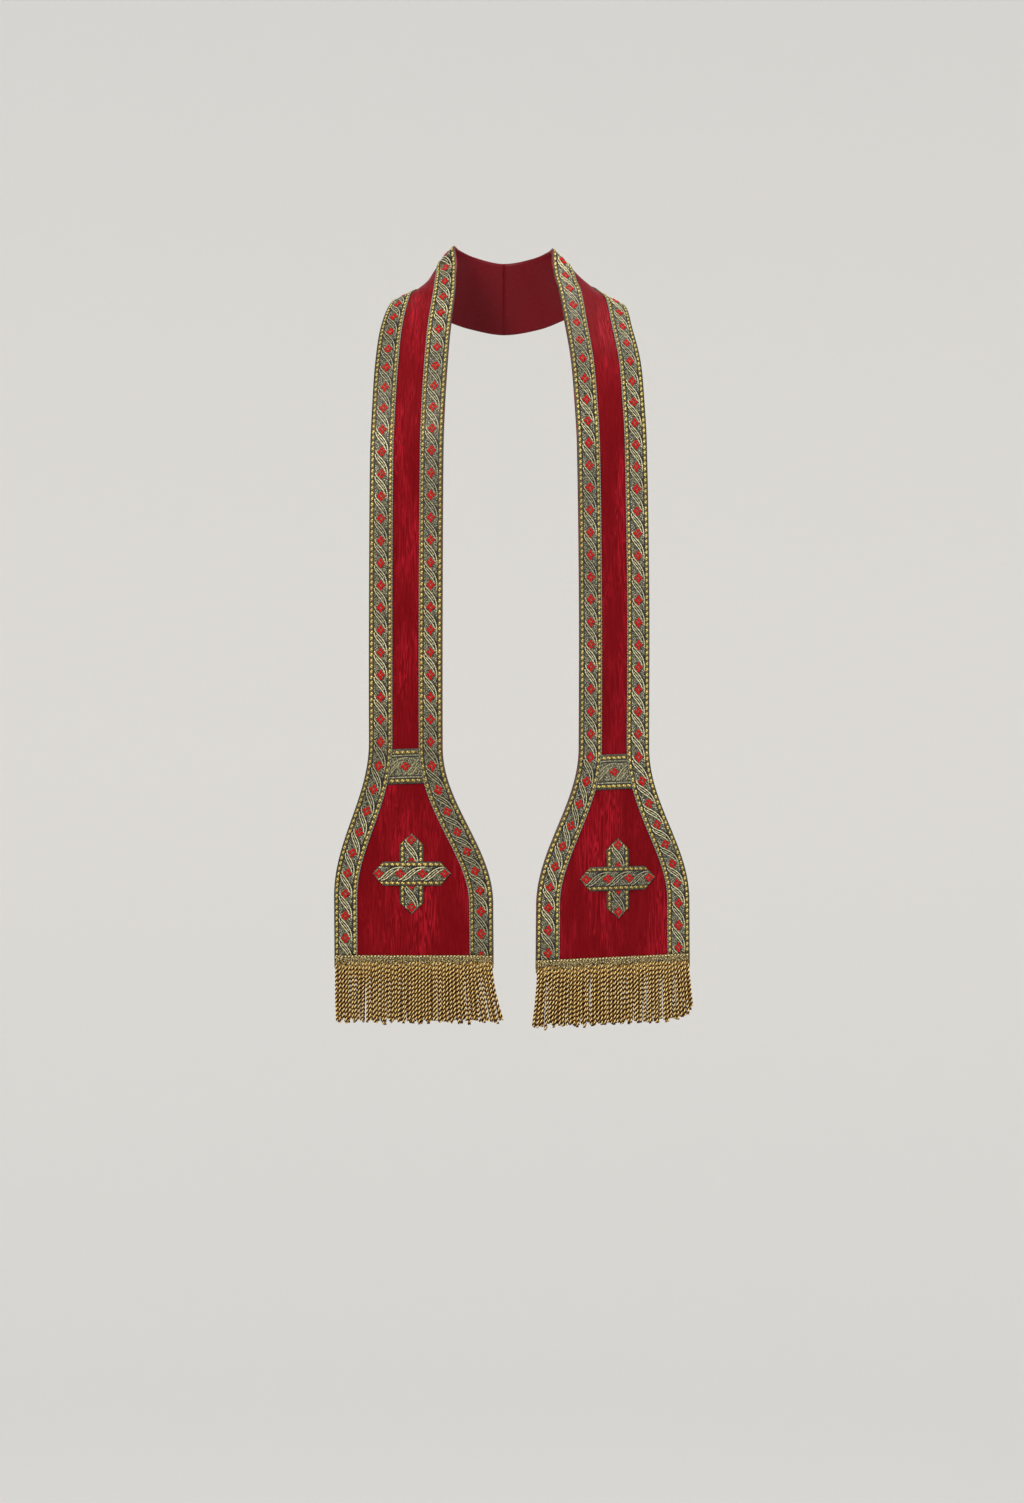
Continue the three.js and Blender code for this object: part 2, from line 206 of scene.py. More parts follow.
def node(tree, kind, links=(), **settings):
    """Adds a node, a shader one unless its kind is a full name; a second word is its operation. Settings
    name its options or, after in_, an input by number or name; links are (source, output, input)."""
    kind, *operation = kind.split()
    made = tree.nodes.new(kind if "Node" in kind else "ShaderNode" + kind)
    if operation:
        made.operation = operation[0]
    for key, value in settings.items():
        if key.startswith("in_"):
            name = key[3:].replace("_", " ")
            made.inputs[int(name) if name.isdigit() else name].default_value = value
        elif key == "ramp":
            for i, (place, colour) in enumerate(value):
                stop = made.color_ramp.elements[i] if i < 2 else made.color_ramp.elements.new(place)
                stop.position, stop.color = place, linear(colour)
        else:
            setattr(made, key, value)
    return joined(tree, made, links)


def new_material(name, colour, roughness, metallic=0.0, **sockets):
    """Returns a material, its node tree and its shader, with the shader's uniform values set."""
    material = bpy.data.materials.new(name)
    material.use_nodes = True
    shader = material.node_tree.nodes["Principled BSDF"]
    sockets.update(Base_Color=linear(colour), Roughness=roughness, Metallic=metallic)
    for socket, value in sockets.items():
        shader.inputs[socket.replace("_", " ")].default_value = value
    return material, material.node_tree, shader


# Noise in the silk: its cells in a metre across and along, its roughness and its warp.
WATERING = ((260, 14, 1), 0.4, 0.7)
WATERED_PATCHES = ((26, 7, 1), 0.5, 0)
SILK_THREADS = ((900, 60, 1), 0.6, 0)
WATER_RINGS = 13
THREAD_STRENGTH = 0.35
# The real ribs are 0.5 mm apart; they are drawn at 0.9 mm so that they show.
RIB_PITCH = 0.9


def moire_silk():
    """Red moire silk: a ribbed taffeta, calendered so that its crushed ribs shine in watered, grain-like
    streaks, which are bright in broad patches and fade between them. That shine is painted sheen: lighter red
    streaks in the colour, laid on the cloth's watering pattern."""
    material, tree, shader = new_material(
        "moire_silk", "#7d121a", 0.42, Specular_IOR_Level=0.14, Specular_Tint=linear("#b8404a"),
        Sheen_Weight=0.05, Sheen_Roughness=0.35, Sheen_Tint=linear("#a83a42"),
    )
    uv = node(tree, "TexCoord")
    field, patches, threads = (
        node(
            tree, "TexNoise", [(node(tree, "Mapping", [(uv, "UV", 0)], in_3=cells), 0, 0)],
            in_2=1, in_3=2, in_4=roughness, in_8=warp,
        )
        for cells, roughness, warp in (WATERING, WATERED_PATCHES, SILK_THREADS)
    )
    rings = node(tree, "Math MULTIPLY", [(field, 0, 0)], in_1=WATER_RINGS)
    wave = node(tree, "Math PINGPONG", [(rings, 0, 0)], in_1=1)
    strength = node(tree, "MapRange", [(patches, 0, 0)], in_1=0.38, in_2=0.62, in_3=0.35, in_4=1)
    streak = node(tree, "Math MULTIPLY", [(wave, 0, 0), (strength, 0, 1)])
    mixed = node(
        tree, "Math MULTIPLY_ADD", [(threads, 0, 0), (streak, 0, 2)], in_1=THREAD_STRENGTH,
    )
    # Lighter streaks of painted sheen from the crushed ribs, laid on the cloth's watering pattern.
    colour = node(
        tree, "ValToRGB", [(mixed, 0, 0)],
        ramp=((0.08, "#62090f"), (0.98, "#9c1825"), (0.36, "#6d0b12"), (0.66, "#7a1018")),
    )
    gloss = node(tree, "MapRange", [(mixed, 0, 0)], in_1=0.1, in_2=0.9, in_3=0.55, in_4=0.42)
    ribs = node(tree, "Mapping", [(uv, "UV", 0)], in_3=(1, 1000 / RIB_PITCH, 1))
    rib = node(tree, "TexWave", [(ribs, 0, 0)], bands_direction="Y", in_1=0.16, in_2=0.4, in_3=1)
    relief = node(tree, "Math MULTIPLY", [(mixed, 0, 0), (rib, "Fac", 1)])
    bump = node(tree, "Bump", [(relief, 0, 2)], in_0=0.25, in_1=0.0003)
    joined(tree, shader, [(colour, 0, "Base Color"), (gloss, 0, "Roughness"), (bump, 0, "Normal")])
    return material


def lining_satin():
    """Dark red satin lining: a quiet, smooth face with fine slubs along it, duller than the silk."""
    material, tree, shader = new_material("lining_satin", "#6a1017", 0.42, Specular_IOR_Level=0.15)
    slubs = node(tree, "Mapping", [(node(tree, "TexCoord"), "UV", 0)], in_3=(1400, 130, 1))
    noise = node(tree, "TexNoise", [(slubs, 0, 0)], in_2=1, in_3=3, in_4=0.55)
    colour = node(tree, "ValToRGB", [(noise, 0, 0)], ramp=((0.3, "#5f0d15"), (0.75, "#7b1620")))
    bump = node(tree, "Bump", [(noise, 0, 2)], in_0=0.2, in_1=0.0002)
    joined(tree, shader, [(colour, 0, "Base Color"), (bump, 0, "Normal")])
    return material


def mesh_of(name, points, corners, sizes):
    mesh = bpy.data.meshes.new(name)
    mesh.vertices.add(len(points))
    mesh.vertices.foreach_set("co", points.ravel())
    mesh.loops.add(len(corners))
    mesh.loops.foreach_set("vertex_index", corners.astype(np.int32))
    mesh.polygons.add(len(sizes))
    mesh.polygons.foreach_set("loop_start", np.concatenate(([0], np.cumsum(sizes)[:-1])).astype(np.int32))
    mesh.update(calc_edges=True)
    return mesh


def piece(name, points, corners, sizes, slots, soft, uvs, materials):
    """A mesh object of points in millimetres with their UVs, and faces with their slots and shading."""
    mesh = mesh_of(name, points * 0.001, corners, sizes)
    for material in materials:
        mesh.materials.append(material)
    mesh.polygons.foreach_set("material_index", slots)
    mesh.polygons.foreach_set("use_smooth", soft)
    layer = mesh.uv_layers.new(name="pattern")
    layer.data.foreach_set("uv", (uvs[corners] * 0.001).ravel())
    mesh.validate()
    made = bpy.data.objects.new(name, mesh)
    bpy.context.scene.collection.objects.link(made)
    return made


def wall(upper, lower):
    """Closed wall between two grids (rows, columns, 3): points, faces, and how many are upper, lower, rim."""
    rows, columns = upper.shape[:2]
    shift = rows * columns
    points = np.concatenate((upper.reshape(-1, 3), lower.reshape(-1, 3)))
    index = np.arange(shift).reshape(rows, columns)
    top = np.stack((index[:-1, :-1], index[1:, :-1], index[1:, 1:], index[:-1, 1:]), -1).reshape(-1, 4)
    under = top[:, ::-1] + shift
    loop = np.concatenate((index[0, :-1], index[:-1, -1], index[-1, :0:-1], index[:0:-1, 0]))
    after = np.roll(loop, -1)
    rim = np.stack((loop, after, after + shift, loop + shift), -1)
    return points, np.vstack((top, under, rim)), (len(top), len(under), len(rim))


def steps(start, end, step):
    return np.linspace(start, end, max(2, int(math.ceil((end - start) / step)) + 1))


silk = moire_silk()
lining = lining_satin()
ROW_STEP = 4
COLUMNS_ACROSS = 26
# The left half is cut this far beside the right one, so that the watering of the two differs.
CUT_ASIDE = 300
for half in HALVES:
    rows = steps(0, half.header + HEADER_LAP, ROW_STEP)
    low, high = -half.width(rows, -1), half.width(rows, 1)
    across = low[:, None] + (high - low)[:, None] * np.linspace(0, 1, COLUMNS_ACROSS)
    along = np.repeat(rows[:, None], COLUMNS_ACROSS, 1)
    face, back = (
        half.drape(along.ravel(), across.ravel(), lift).reshape(*along.shape, 3) for lift in (PANEL_WALL, 0)
    )
    points, faces, counts = wall(face, back)
    if half.side < 0:
        faces = faces[:, (0, 3, 2, 1)]
    uvs = np.tile(np.stack((across.ravel() + CUT_ASIDE * (half.side > 0), along.ravel()), -1), (2, 1))
    band = piece(
        f"band_{half.name}", points, faces.ravel(), np.full(len(faces), 4), np.repeat((0, 1, 0), counts),
        np.full(len(faces), True), uvs, (silk, lining),
    )
    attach(band, "root")
    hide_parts(f"panel_{half.name}")


# The edge galloons
# Four lengths of 30 mm woven galloon, sewn flat along both edges of each half: red silk florets and slanting
# cream leaf threads on a dark ground, between two rows of gold purl.

GALLOON_WIDTH = 30
TRIM_FOOT = PANEL_WALL + 0.05
WEAVE_WALL = 1.05
REPEAT = 28
PURL_PITCH = 7
PURL_SIZE = (5.7, 3.4, 2.3)
PURL_TURN = -0.3
PURL_FROM_EDGE = 3.4
PETAL_SIZE = (5.8, 4.9, 0.9)
PETAL_PLACES = ((-3.7, 0), (0, 3.1), (3.7, 0), (0, -3.1))
CROSS_THREAD_SIZE = (6.8, 0.8, 0.8)
CROSS_THREAD_TURN = 0.72
SEED_SIZE = (1.7, 1.4, 1.1)
SEED_UNEVENNESS = 0.25
# Threads of the leaf between two florets, each a curve through start, two handles and end, as along, across
# from the upper floret's middle: two thick outlines, which run on beside the florets.
OUTLINE_WIDTH = 1.4
OUTLINES = (
    ((-2.0, -7.4), (7.0, -7.6), (8.5, 9.2), (32.0, 8.2)),
    ((3.0, -8.2), (12.0, -8.2), (16.0, 2.5), (26.5, 5.4)),
)
VEIN_WIDTH = 1.0
VEIN_SHARE = 0.5
VEIN_ENDS = (0.24, 0.76)
# The dark bed under a leaf is an S too: its middle along, its swing across, its half length and half width.
BED_MIDDLE = 12.6
BED_SWING = 7.4
BED_SLANT = 1.1
BED_HALF_LENGTH = 13
BED_HALF_WIDTH = 5.8
# The raised selvedge on the side of the silk: where it lies across, and how far it stands up and is sunk in.
SELVEDGE = (13.5, 14.9)
SELVEDGE_RISE = 0.35
SELVEDGE_SINK = 0.1
# Seed stitches that fill the corners, from the same point.
SEEDS = (
    (2.0, 6.8), (4.4, 5.2), (5.4, 7.4), (7.2, 4.4), (8.4, 6.6), (10.6, 7.4), (-1.6, 6.4),
    (17.0, -7.4), (18.4, -5.4), (20.2, -7.2), (21.4, -4.6), (23.2, -6.4), (25.4, -5.2), (26.2, -7.2),
)
HALF_GALLOON = GALLOON_WIDTH / 2


def thread_with_painted_shade(name, light, dark, roughness, metallic, pitch, dim=0.0, gloss=0.5):
    """A thread material: slanting twist lines at the thread's pitch (mm), with painted shade in the grooves
    between them. Dim is the share of brightness lost to painted shade in slow patches, where the metal thread
    faces away from the light."""
    material, tree, shader = new_material(name, light, roughness, metallic, Specular_IOR_Level=gloss)
    uv = node(tree, "TexCoord")
    turned = node(tree, "Mapping", [(uv, "UV", 0)], in_2=(0, 0, 0.6), in_3=(1000 / pitch, 1000 / pitch, 1))
    twist = node(tree, "TexWave", [(turned, 0, 0)], in_1=0.16, in_2=1.2, in_3=1)
    # Light on the twist's crowns, with painted shade in the grooves between them.
    colour = node(tree, "ValToRGB", [(twist, "Fac", 0)], ramp=((0.1, dark), (0.65, light)))
    # Slow patches of painted shade, where the metal thread faces away from the light.
    slow = node(tree, "TexNoise", [(uv, "Object", 0)], in_2=9, in_3=1, in_4=0.5)
    shade = node(tree, "MapRange", [(slow, 0, 0)], in_1=0.4, in_2=0.6, in_3=1 - dim, in_4=1)
    dyed = node(tree, "Mix", [(colour, 0, 6), (shade, 0, 7)], data_type="RGBA", blend_type="MULTIPLY", in_0=1)
    bump = node(tree, "Bump", [(twist, "Fac", 2)], in_0=0.5, in_1=0.0003)
    joined(tree, shader, [(dyed, 2, "Base Color"), (bump, 0, "Normal")])
    return material


# The real weave has 0.4 mm threads; they are drawn 1.5 mm apart so that they show.
WEAVE_PITCH = 1.5


def woven_ground(name, half_width, bands, beds=True):
    """A woven trim's ground: colour bands by distance from the middle (mm), each light on the raised middle
    of a woven pick and dark at its sunken rim.
    Beds are dark leaf shapes under the leaf threads, one between each two florets: the dark ground between
    the threads, widened as painted shade beside the outlines."""
    material, tree, shader = new_material(name, "#4a4636", 0.55, 0.15)
    uv = node(tree, "TexCoord")
    split = node(tree, "SeparateXYZ", [(uv, "UV", 0)])
    aside = node(tree, "Math ABSOLUTE", [(split, 1, 0)])
    share = node(tree, "Math MULTIPLY", [(aside, 0, 0)], in_1=1000 / half_width)
    light, dark = (
        node(tree, "ValToRGB", [(share, 0, 0)], ramp=[(band[0] / half_width, band[shade]) for band in bands])
        for shade in (1, 2)
    )
    for ramp in (light, dark):
        ramp.color_ramp.interpolation = "CONSTANT"
    fine = node(tree, "Mapping", [(uv, "UV", 0)], in_3=(1000 / WEAVE_PITCH, 1000 / WEAVE_PITCH, 1))
    cells = node(tree, "TexVoronoi", [(fine, 0, 0)], in_2=1, in_8=0.55)
    picks = node(tree, "MapRange", [(cells, "Distance", 0)], in_1=0.25, in_2=0.55, in_3=1, in_4=0)
    mix = node(tree, "Mix", [(picks, 0, 0), (dark, 0, 6), (light, 0, 7)], data_type="RGBA")
    if beds:
        turn = node(tree, "Math MULTIPLY", [(split, 0, 0)], in_1=1000 / REPEAT)
        part_turn = node(tree, "Math FRACT", [(turn, 0, 0)])
        run = node(
            tree, "Math MULTIPLY_ADD", [(part_turn, 0, 0)], in_1=REPEAT, in_2=-BED_MIDDLE,
        )
        angle = node(tree, "Math MULTIPLY", [(run, 0, 0)], in_1=BED_SLANT / BED_SWING)
        swing = node(tree, "Math SINE", [(angle, 0, 0)])
        lean = node(tree, "Math MULTIPLY", [(swing, 0, 0)], in_1=-BED_SWING)
        off = node(tree, "Math MULTIPLY_ADD", [(split, 1, 0), (lean, 0, 2)], in_1=1000)
        far = node(tree, "Math ABSOLUTE", [(off, 0, 0)])
        square = node(tree, "Math POWER", [(run, 0, 0)], in_1=2)
        reach = node(
            tree, "Math MULTIPLY_ADD", [(square, 0, 0)],
            in_1=-BED_HALF_WIDTH / BED_HALF_LENGTH ** 2, in_2=BED_HALF_WIDTH,
        )
        bed = node(tree, "Math LESS_THAN", [(far, 0, 0), (reach, 0, 1)])
        # The bed's near-black is the dark ground between the leaf threads, widened as painted shade beside
        # the outlines.
        mix = node(tree, "Mix", [(bed, 0, 0), (mix, 2, 6)], data_type="RGBA", in_7=linear("#050402"))
    bump = node(tree, "Bump", [(picks, 0, 2)], in_0=0.6, in_1=0.0004)
    joined(tree, shader, [(mix, 2, "Base Color"), (bump, 0, "Normal")])
    return material


def nodes_tree(name, inputs):
    """An empty geometry tree with its named inputs: returns the tree, its input node and its output node."""
    tree = bpy.data.node_groups.new(name, "GeometryNodeTree")
    tree.interface.new_socket("Geometry", in_out="INPUT", socket_type="NodeSocketGeometry")
    for label, kind, value in (*inputs, ("Material", "Material", None)):
        socket = tree.interface.new_socket(label, in_out="INPUT", socket_type="NodeSocket" + kind)
        if value is not None:
            socket.default_value = value
    tree.interface.new_socket("Geometry", in_out="OUTPUT", socket_type="NodeSocketGeometry")
    return tree, node(tree, "NodeGroupInput"), node(tree, "NodeGroupOutput")


def ended(tree, given, result, form):
    """Ends a tree: its instances are made real and given their material."""
    real = node(tree, "GeometryNodeRealizeInstances", [(form, 0, "Geometry")])
    dyed = node(tree, "GeometryNodeSetMaterial", [(real, 0, "Geometry"), (given, "Material", "Material")])
    joined(tree, result, [(dyed, 0, 0)])
    return tree


def planted(tree, given, result, form, sizes=()):
    """Ends a tree: its form stands on each point, turned by the point's own angle."""
    turn = node(tree, "GeometryNodeInputNamedAttribute", data_type="FLOAT_VECTOR", in_Name="turn")
    placed = node(
        tree, "GeometryNodeInstanceOnPoints",
        [(given, "Geometry", "Points"), (form, 0, "Instance"), (turn, 0, "Rotation"), *sizes],
    )
    return ended(tree, given, result, placed)


def stitched_tree(name, shape, **measures):
    """Sets one small shape on each point: purl beads, petals or seed stitches."""
    tree, given, result = nodes_tree(name, (
        ("Size", "Vector", (1, 1, 1)), ("Unevenness", "Float", 0.06), ("Seed", "Int", 3),
    ))
    form = node(tree, "GeometryNodeMesh" + shape, **measures)
    sized = node(tree, "GeometryNodeTransform", [(form, 0, "Geometry"), (given, "Size", "Scale")])
    least = node(tree, "Math SUBTRACT", [(given, "Unevenness", 1)], in_0=1)
    most = node(tree, "Math ADD", [(given, "Unevenness", 1)], in_0=1)
    spread = node(tree, "FunctionNodeRandomValue", [(least, 0, 2), (most, 0, 3), (given, "Seed", "Seed")])
    return planted(tree, given, result, sized, [(spread, 1, "Scale")])


def leaf_tree(name, width, threads):
    """Lays the leaf threads of a repeat at each point, as round threads on their curves."""
    tree, given, result = nodes_tree(name, (("Thread Width", "Float", width), ("Flatness", "Float", 0.8)))
    join = node(tree, "GeometryNodeJoinGeometry")
    for thread in threads:
        start, start_handle, end_handle, end = ((*place, 0) for place in thread)
        curve = node(
            tree, "GeometryNodeCurvePrimitiveBezierSegment", in_Resolution=11, in_Start=start,
            in_Start_Handle=start_handle, in_End_Handle=end_handle, in_End=end,
        )
        joined(tree, join, [(curve, 0, 0)])
    radius = node(tree, "Math MULTIPLY", [(given, "Thread Width", 0)], in_1=0.5)
    ring = node(tree, "GeometryNodeCurvePrimitiveCircle", [(radius, 0, "Radius")], in_Resolution=6)
    tube = node(
        tree, "GeometryNodeCurveToMesh", [(join, 0, "Curve"), (ring, 0, "Profile Curve")], in_Fill_Caps=True,
    )
    flat = node(tree, "CombineXYZ", [(given, "Flatness", 2)], in_0=1, in_1=1)
    pressed = node(tree, "GeometryNodeTransform", [(tube, 0, "Geometry"), (flat, 0, "Scale")])
    return planted(tree, given, result, pressed)


def vein():
    """The handles of a thinner thread that keeps between the two outlines, over the leaf's middle."""
    start, end = VEIN_ENDS
    handles = []
    for stops in ((start, start, start), (start, start, end), (start, end, end), (end, end, end)):
        line = (1 - VEIN_SHARE) * np.array(OUTLINES[0]) + VEIN_SHARE * np.array(OUTLINES[1])
        for stop in stops:
            line = (1 - stop) * line[:-1] + stop * line[1:]
        handles.append(tuple(line[0]))
    return handles


def grown(tree, points, turns, edges=(), **values):
    """Runs a tree on points and returns the plain mesh that it makes."""
    mesh = bpy.data.meshes.new("seedbed")
    mesh.from_pydata([tuple(map(float, p)) for p in points], [tuple(map(int, e)) for e in edges], [])
    turn = mesh.attributes.new("turn", "FLOAT_VECTOR", "POINT")
    turn.data.foreach_set("vector", np.stack((0 * turns, 0 * turns, turns), -1).ravel())
    host = bpy.data.objects.new("seedbed", mesh)
    bpy.context.scene.collection.objects.link(host)
    growth = host.modifiers.new("growth", "NODES")
    growth.node_group = tree
    for item in tree.interface.items_tree:
        key = item.name.replace(" ", "_")
        if item.in_out == "INPUT" and key in values:
            growth[item.identifier] = values[key]
    graph = bpy.context.evaluated_depsgraph_get()
    made = bpy.data.meshes.new_from_object(host.evaluated_get(graph), depsgraph=graph)
    host.modifiers.remove(growth)
    bpy.data.objects.remove(host)
    bpy.data.meshes.remove(mesh)
    return made


def read_back(mesh):
    """A mesh as (points, corners, face sizes), after which the mesh is dropped."""
    places = np.empty(3 * len(mesh.vertices), np.float32)
    mesh.vertices.foreach_get("co", places)
    corners = np.empty(len(mesh.loops), np.int32)
    mesh.loops.foreach_get("vertex_index", corners)
    sizes = np.empty(len(mesh.polygons), np.int32)
    mesh.polygons.foreach_get("loop_total", sizes)
    bpy.data.meshes.remove(mesh)
    return places.reshape(-1, 3).astype(float), corners, sizes


def part(threads, slot, soft=True, origin=0.0, stretch=1.0, uvs=None):
    """One part of a piece in its flat pattern (along, across, lift), with its material slot and shading. Its
    UVs count along from origin, the middle of a floret, and across in parts of the trim's stretch."""
    points, corners, sizes = threads
    if uvs is None:
        uvs = np.stack((points[:, 0] - origin, points[:, 1] / stretch), -1)
    return {"points": points, "corners": corners, "sizes": sizes, "slot": slot, "soft": soft, "uvs": uvs}


def cut_off(threads, planes):
    """Cuts threads off at planes, each a place and the direction to remove, and closes the cut ends."""
    mesh = mesh_of("cutting", *threads)
    work = bmesh.new()
    work.from_mesh(mesh)
    for place, away in planes:
        cut = bmesh.ops.bisect_plane(
            work, geom=work.verts[:] + work.edges[:] + work.faces[:], plane_co=place, plane_no=away,
            clear_outer=True, dist=1e-4,
        )
        rim = [e for e in cut["geom_cut"] if isinstance(e, bmesh.types.BMEdge)]
        bmesh.ops.holes_fill(work, edges=rim, sides=0)
    work.to_mesh(mesh)
    work.free()
    return read_back(mesh)


def sewn(name, parts, lay, materials):
    """Joins flat parts into one mesh object, laid in place by lay(along, across, lift)."""
    points, sizes, uvs = (np.concatenate([p[key] for p in parts]) for key in ("points", "sizes", "uvs"))
    offsets = np.cumsum([0] + [len(p["points"]) for p in parts[:-1]])
    corners = np.concatenate([p["corners"] + o for p, o in zip(parts, offsets)])
    counts = [len(p["sizes"]) for p in parts]
    slots, soft = (np.repeat([p[key] for p in parts], counts) for key in ("slot", "soft"))
    return piece(name, lay(*points.T), corners, sizes, slots, soft, uvs, materials)


def strip(along, across, foot, top, origin=0.0, stretch=1.0):
    """Flat part of woven ground: rows by columns of pattern points, as a closed wall."""
    upper, lower = (np.stack((along, across, np.full_like(along, lift)), -1) for lift in (top, foot))
    points, faces, _ = wall(upper, lower)
    return part((points, faces.ravel(), np.full(len(faces), 4)), 0, True, origin, stretch)


def edge_lay(half, sign):
    """Lays a galloon's pattern on the band's edge, and gives its length: along runs down, across to the right
    as seen. Where the edge flares, the galloon's places are square to the edge."""
    table = np.arange(0, half.header + 1, 1.0)
    slope = (half.width(table + PROBE, sign) - half.width(table - PROBE, sign)) / (2 * PROBE)
    run = np.concatenate(([0], np.cumsum(np.hypot(1, (slope[1:] + slope[:-1]) / 2))))

    def lay(along, across, lift):
        at = np.interp(along, run, table)
        rise = np.interp(at, table, slope)
        reach = across + HALF_GALLOON if half.side * sign < 0 else HALF_GALLOON - across
        stretch = np.hypot(1, rise)
        return half.drape(
            at + reach * rise / stretch, sign * (half.width(at, sign) - reach / stretch), lift + TRIM_FOOT,
        )

    return lay, np.interp(half.header - SEAM_GAP, table, run)


def purl_rows(start, end, level, pitch=PURL_PITCH):
    """Places of two straight rows of purl beads from start to end, at that level on both sides."""
    count = max(1, int((end - start) / pitch))
    first = (start + end - (count - 1) * pitch) / 2
    return [(first + i * pitch, s * level, WEAVE_WALL) for s in (-1, 1) for i in range(count)]


# Round gold wire, the brightest of the threads, with sparkling crowns.
purl_gold = thread_with_painted_shade("purl_gold", "#e6d577", "#755c1e", 0.34, 0.35, 1.2, dim=0.3)
# Pale silver-gilt threads that draw the leaves, bright where they catch the light.
leaf_cream = thread_with_painted_shade("leaf_cream", "#ebe4b8", "#a39c72", 0.34, 0.2, 1.0, dim=0.5)
# Cooler, smaller glints that fill the corners.
seed_silver = thread_with_painted_shade("seed_silver", "#dad9bd", "#706f52", 0.36, 0.2, 1.0, dim=0.4)
# Dull brown threads that cross the florets and part their petals.
binding_olive = thread_with_painted_shade("binding_olive", "#9a7f64", "#6b4a3a", 0.5, 0.0, 1.0)
# A grey rim that sets the galloon off from the silk.
selvedge_grey = thread_with_painted_shade("selvedge_grey", "#8b907c", "#484c3e", 0.45, 0.1, 1.6)
# Matt scarlet silk, the only strong colour in the galloon.
floret_silk = thread_with_painted_shade("floret_silk", "#c8060b", "#980409", 0.5, 0.0, 0.9, gloss=0.15)
# Greenish dark metal weave: speckled between the leaves, black beside the purl and gold under it.
galloon_ground = woven_ground("galloon_ground", HALF_GALLOON, (
    (0, "#8f8c6b", "#0e0c07"), (8.6, "#0c0a06", "#040302"), (9.7, "#7a6126", "#372810"),
    (13.5, "#595a48", "#25261c"),
))
GALLOON_MATERIALS = (
    galloon_ground, purl_gold, leaf_cream, floret_silk, seed_silver, binding_olive, selvedge_grey,
)
purl_tree = stitched_tree("purl_beads", "UVSphere", in_Segments=8, in_Rings=5, in_Radius=0.5)
petal_tree = stitched_tree(
    "floret_petals", "Cone", in_Vertices=4, in_Radius_Top=0.34, in_Radius_Bottom=0.5, in_Depth=1,
)
seed_tree = stitched_tree("seed_stitches", "IcoSphere", in_Subdivisions=1, in_Radius=0.5)
outline_tree = leaf_tree("leaf_outlines", OUTLINE_WIDTH, OUTLINES)
vein_tree = leaf_tree("leaf_veins", VEIN_WIDTH, [vein()])


def galloon_relief(purl, middles, planes, stretch=1.0):
    """The raised threads of a galloon as flat parts: its purl at the given places, and a floret, two crossed
    threads, a leaf and its seeds from each of the middles on, all cut off at the planes."""
    def spots(places, lift):
        return [(m + a, b, WEAVE_WALL + lift) for m in middles for a, b in places]

    crossed = spots([(0, 0), (0, 0)], 0.25)
    turns = np.resize((CROSS_THREAD_TURN, -CROSS_THREAD_TURN), len(crossed))
    made = []
    for tree, places, turn, slot, size, material in (
        (purl_tree, purl, PURL_TURN, 1, PURL_SIZE, purl_gold),
        (petal_tree, spots(PETAL_PLACES, 0.3), 0, 3, PETAL_SIZE, floret_silk),
        (purl_tree, crossed, turns, 5, CROSS_THREAD_SIZE, binding_olive),
        (outline_tree, spots([(0, 0)], 0.3), 0, 2, None, leaf_cream),
        (vein_tree, spots([(0, 0)], 0.2), 0, 2, None, leaf_cream),
        (seed_tree, spots(SEEDS, 0.1), 0, 4, SEED_SIZE, seed_silver),
    ):
        if len(places) == 0:
            continue
        values = {"Size": size} if size else {}
        if tree is seed_tree:
            values["Unevenness"] = SEED_UNEVENNESS
        threads = read_back(grown(tree, places, np.zeros(len(places)) + turn, Material=material, **values))
        if tree in (outline_tree, vein_tree, seed_tree):
            threads[0][:, 1] *= stretch
        made.append(part(cut_off(threads, planes), slot, tree is not petal_tree))
    return made


FLORET_HEIGHT = {"left": -238.5, "right": -248.4}
for half in HALVES:
    for sign, place in ((-1, "inner"), (1, "outer")):
        lay, length = edge_lay(half, sign)
        phase = half.along_at(FLORET_HEIGHT[half.name]) % REPEAT
        middles = np.arange(phase - REPEAT, length + REPEAT, REPEAT)
        purl = purl_rows(0, length, HALF_GALLOON - PURL_FROM_EDGE)
        rows = steps(0, length, ROW_STEP)
        along, across = np.meshgrid(rows, np.linspace(-HALF_GALLOON, HALF_GALLOON, 9), indexing="ij")
        parts = [strip(along, across, 0, WEAVE_WALL, phase)]
        silk_side = -1 if half.side * sign > 0 else 1
        edge, reach = np.meshgrid(rows, np.sort(silk_side * np.array(SELVEDGE)), indexing="ij")
        rim = strip(edge, reach, WEAVE_WALL - SELVEDGE_SINK, WEAVE_WALL + SELVEDGE_RISE, phase)
        parts.append({**rim, "slot": 6})
        parts += galloon_relief(purl, middles, (((0, 0, 0), (-1, 0, 0)), ((length, 0, 0), (1, 0, 0))))
        name = f"galloon_{place}_{half.name}"
        galloon = sewn(f"{name}_woven", parts, lay, GALLOON_MATERIALS)
        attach(galloon, "root")
        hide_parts(name)


# The crossbands
# A wider galloon, 44 mm, let in across the top of each spade end between the two edge galloons.

CROSSBAND_WIDTH = 44
CROSSBAND_END_GAP = 0.3
CROSSBANDS = {"left": (-622, -0.035), "right": (-615, 0.035)}
PURL_LEVEL = 17.7
PURL_SPACING = 6.8
# How much wider its pattern is drawn than the edge galloon's.
CROSSBAND_STRETCH = 1.3

# The same metal weave, greyer, with a pale line between the leaf and the purl.
crossband_ground = woven_ground("crossband_ground", CROSSBAND_WIDTH / 2 / CROSSBAND_STRETCH, [
    (at / CROSSBAND_STRETCH, light, dark) for at, light, dark in (
        (0, "#9c9772", "#2b2817"), (11.2, "#241f12", "#0f0c07"), (12.8, "#b9b694", "#5b583e"),
        (14.4, "#241f12", "#0f0c07"), (15.8, "#7f682f", "#3a2b11"), (19.8, "#595a48", "#25261c"),
    )
], False)
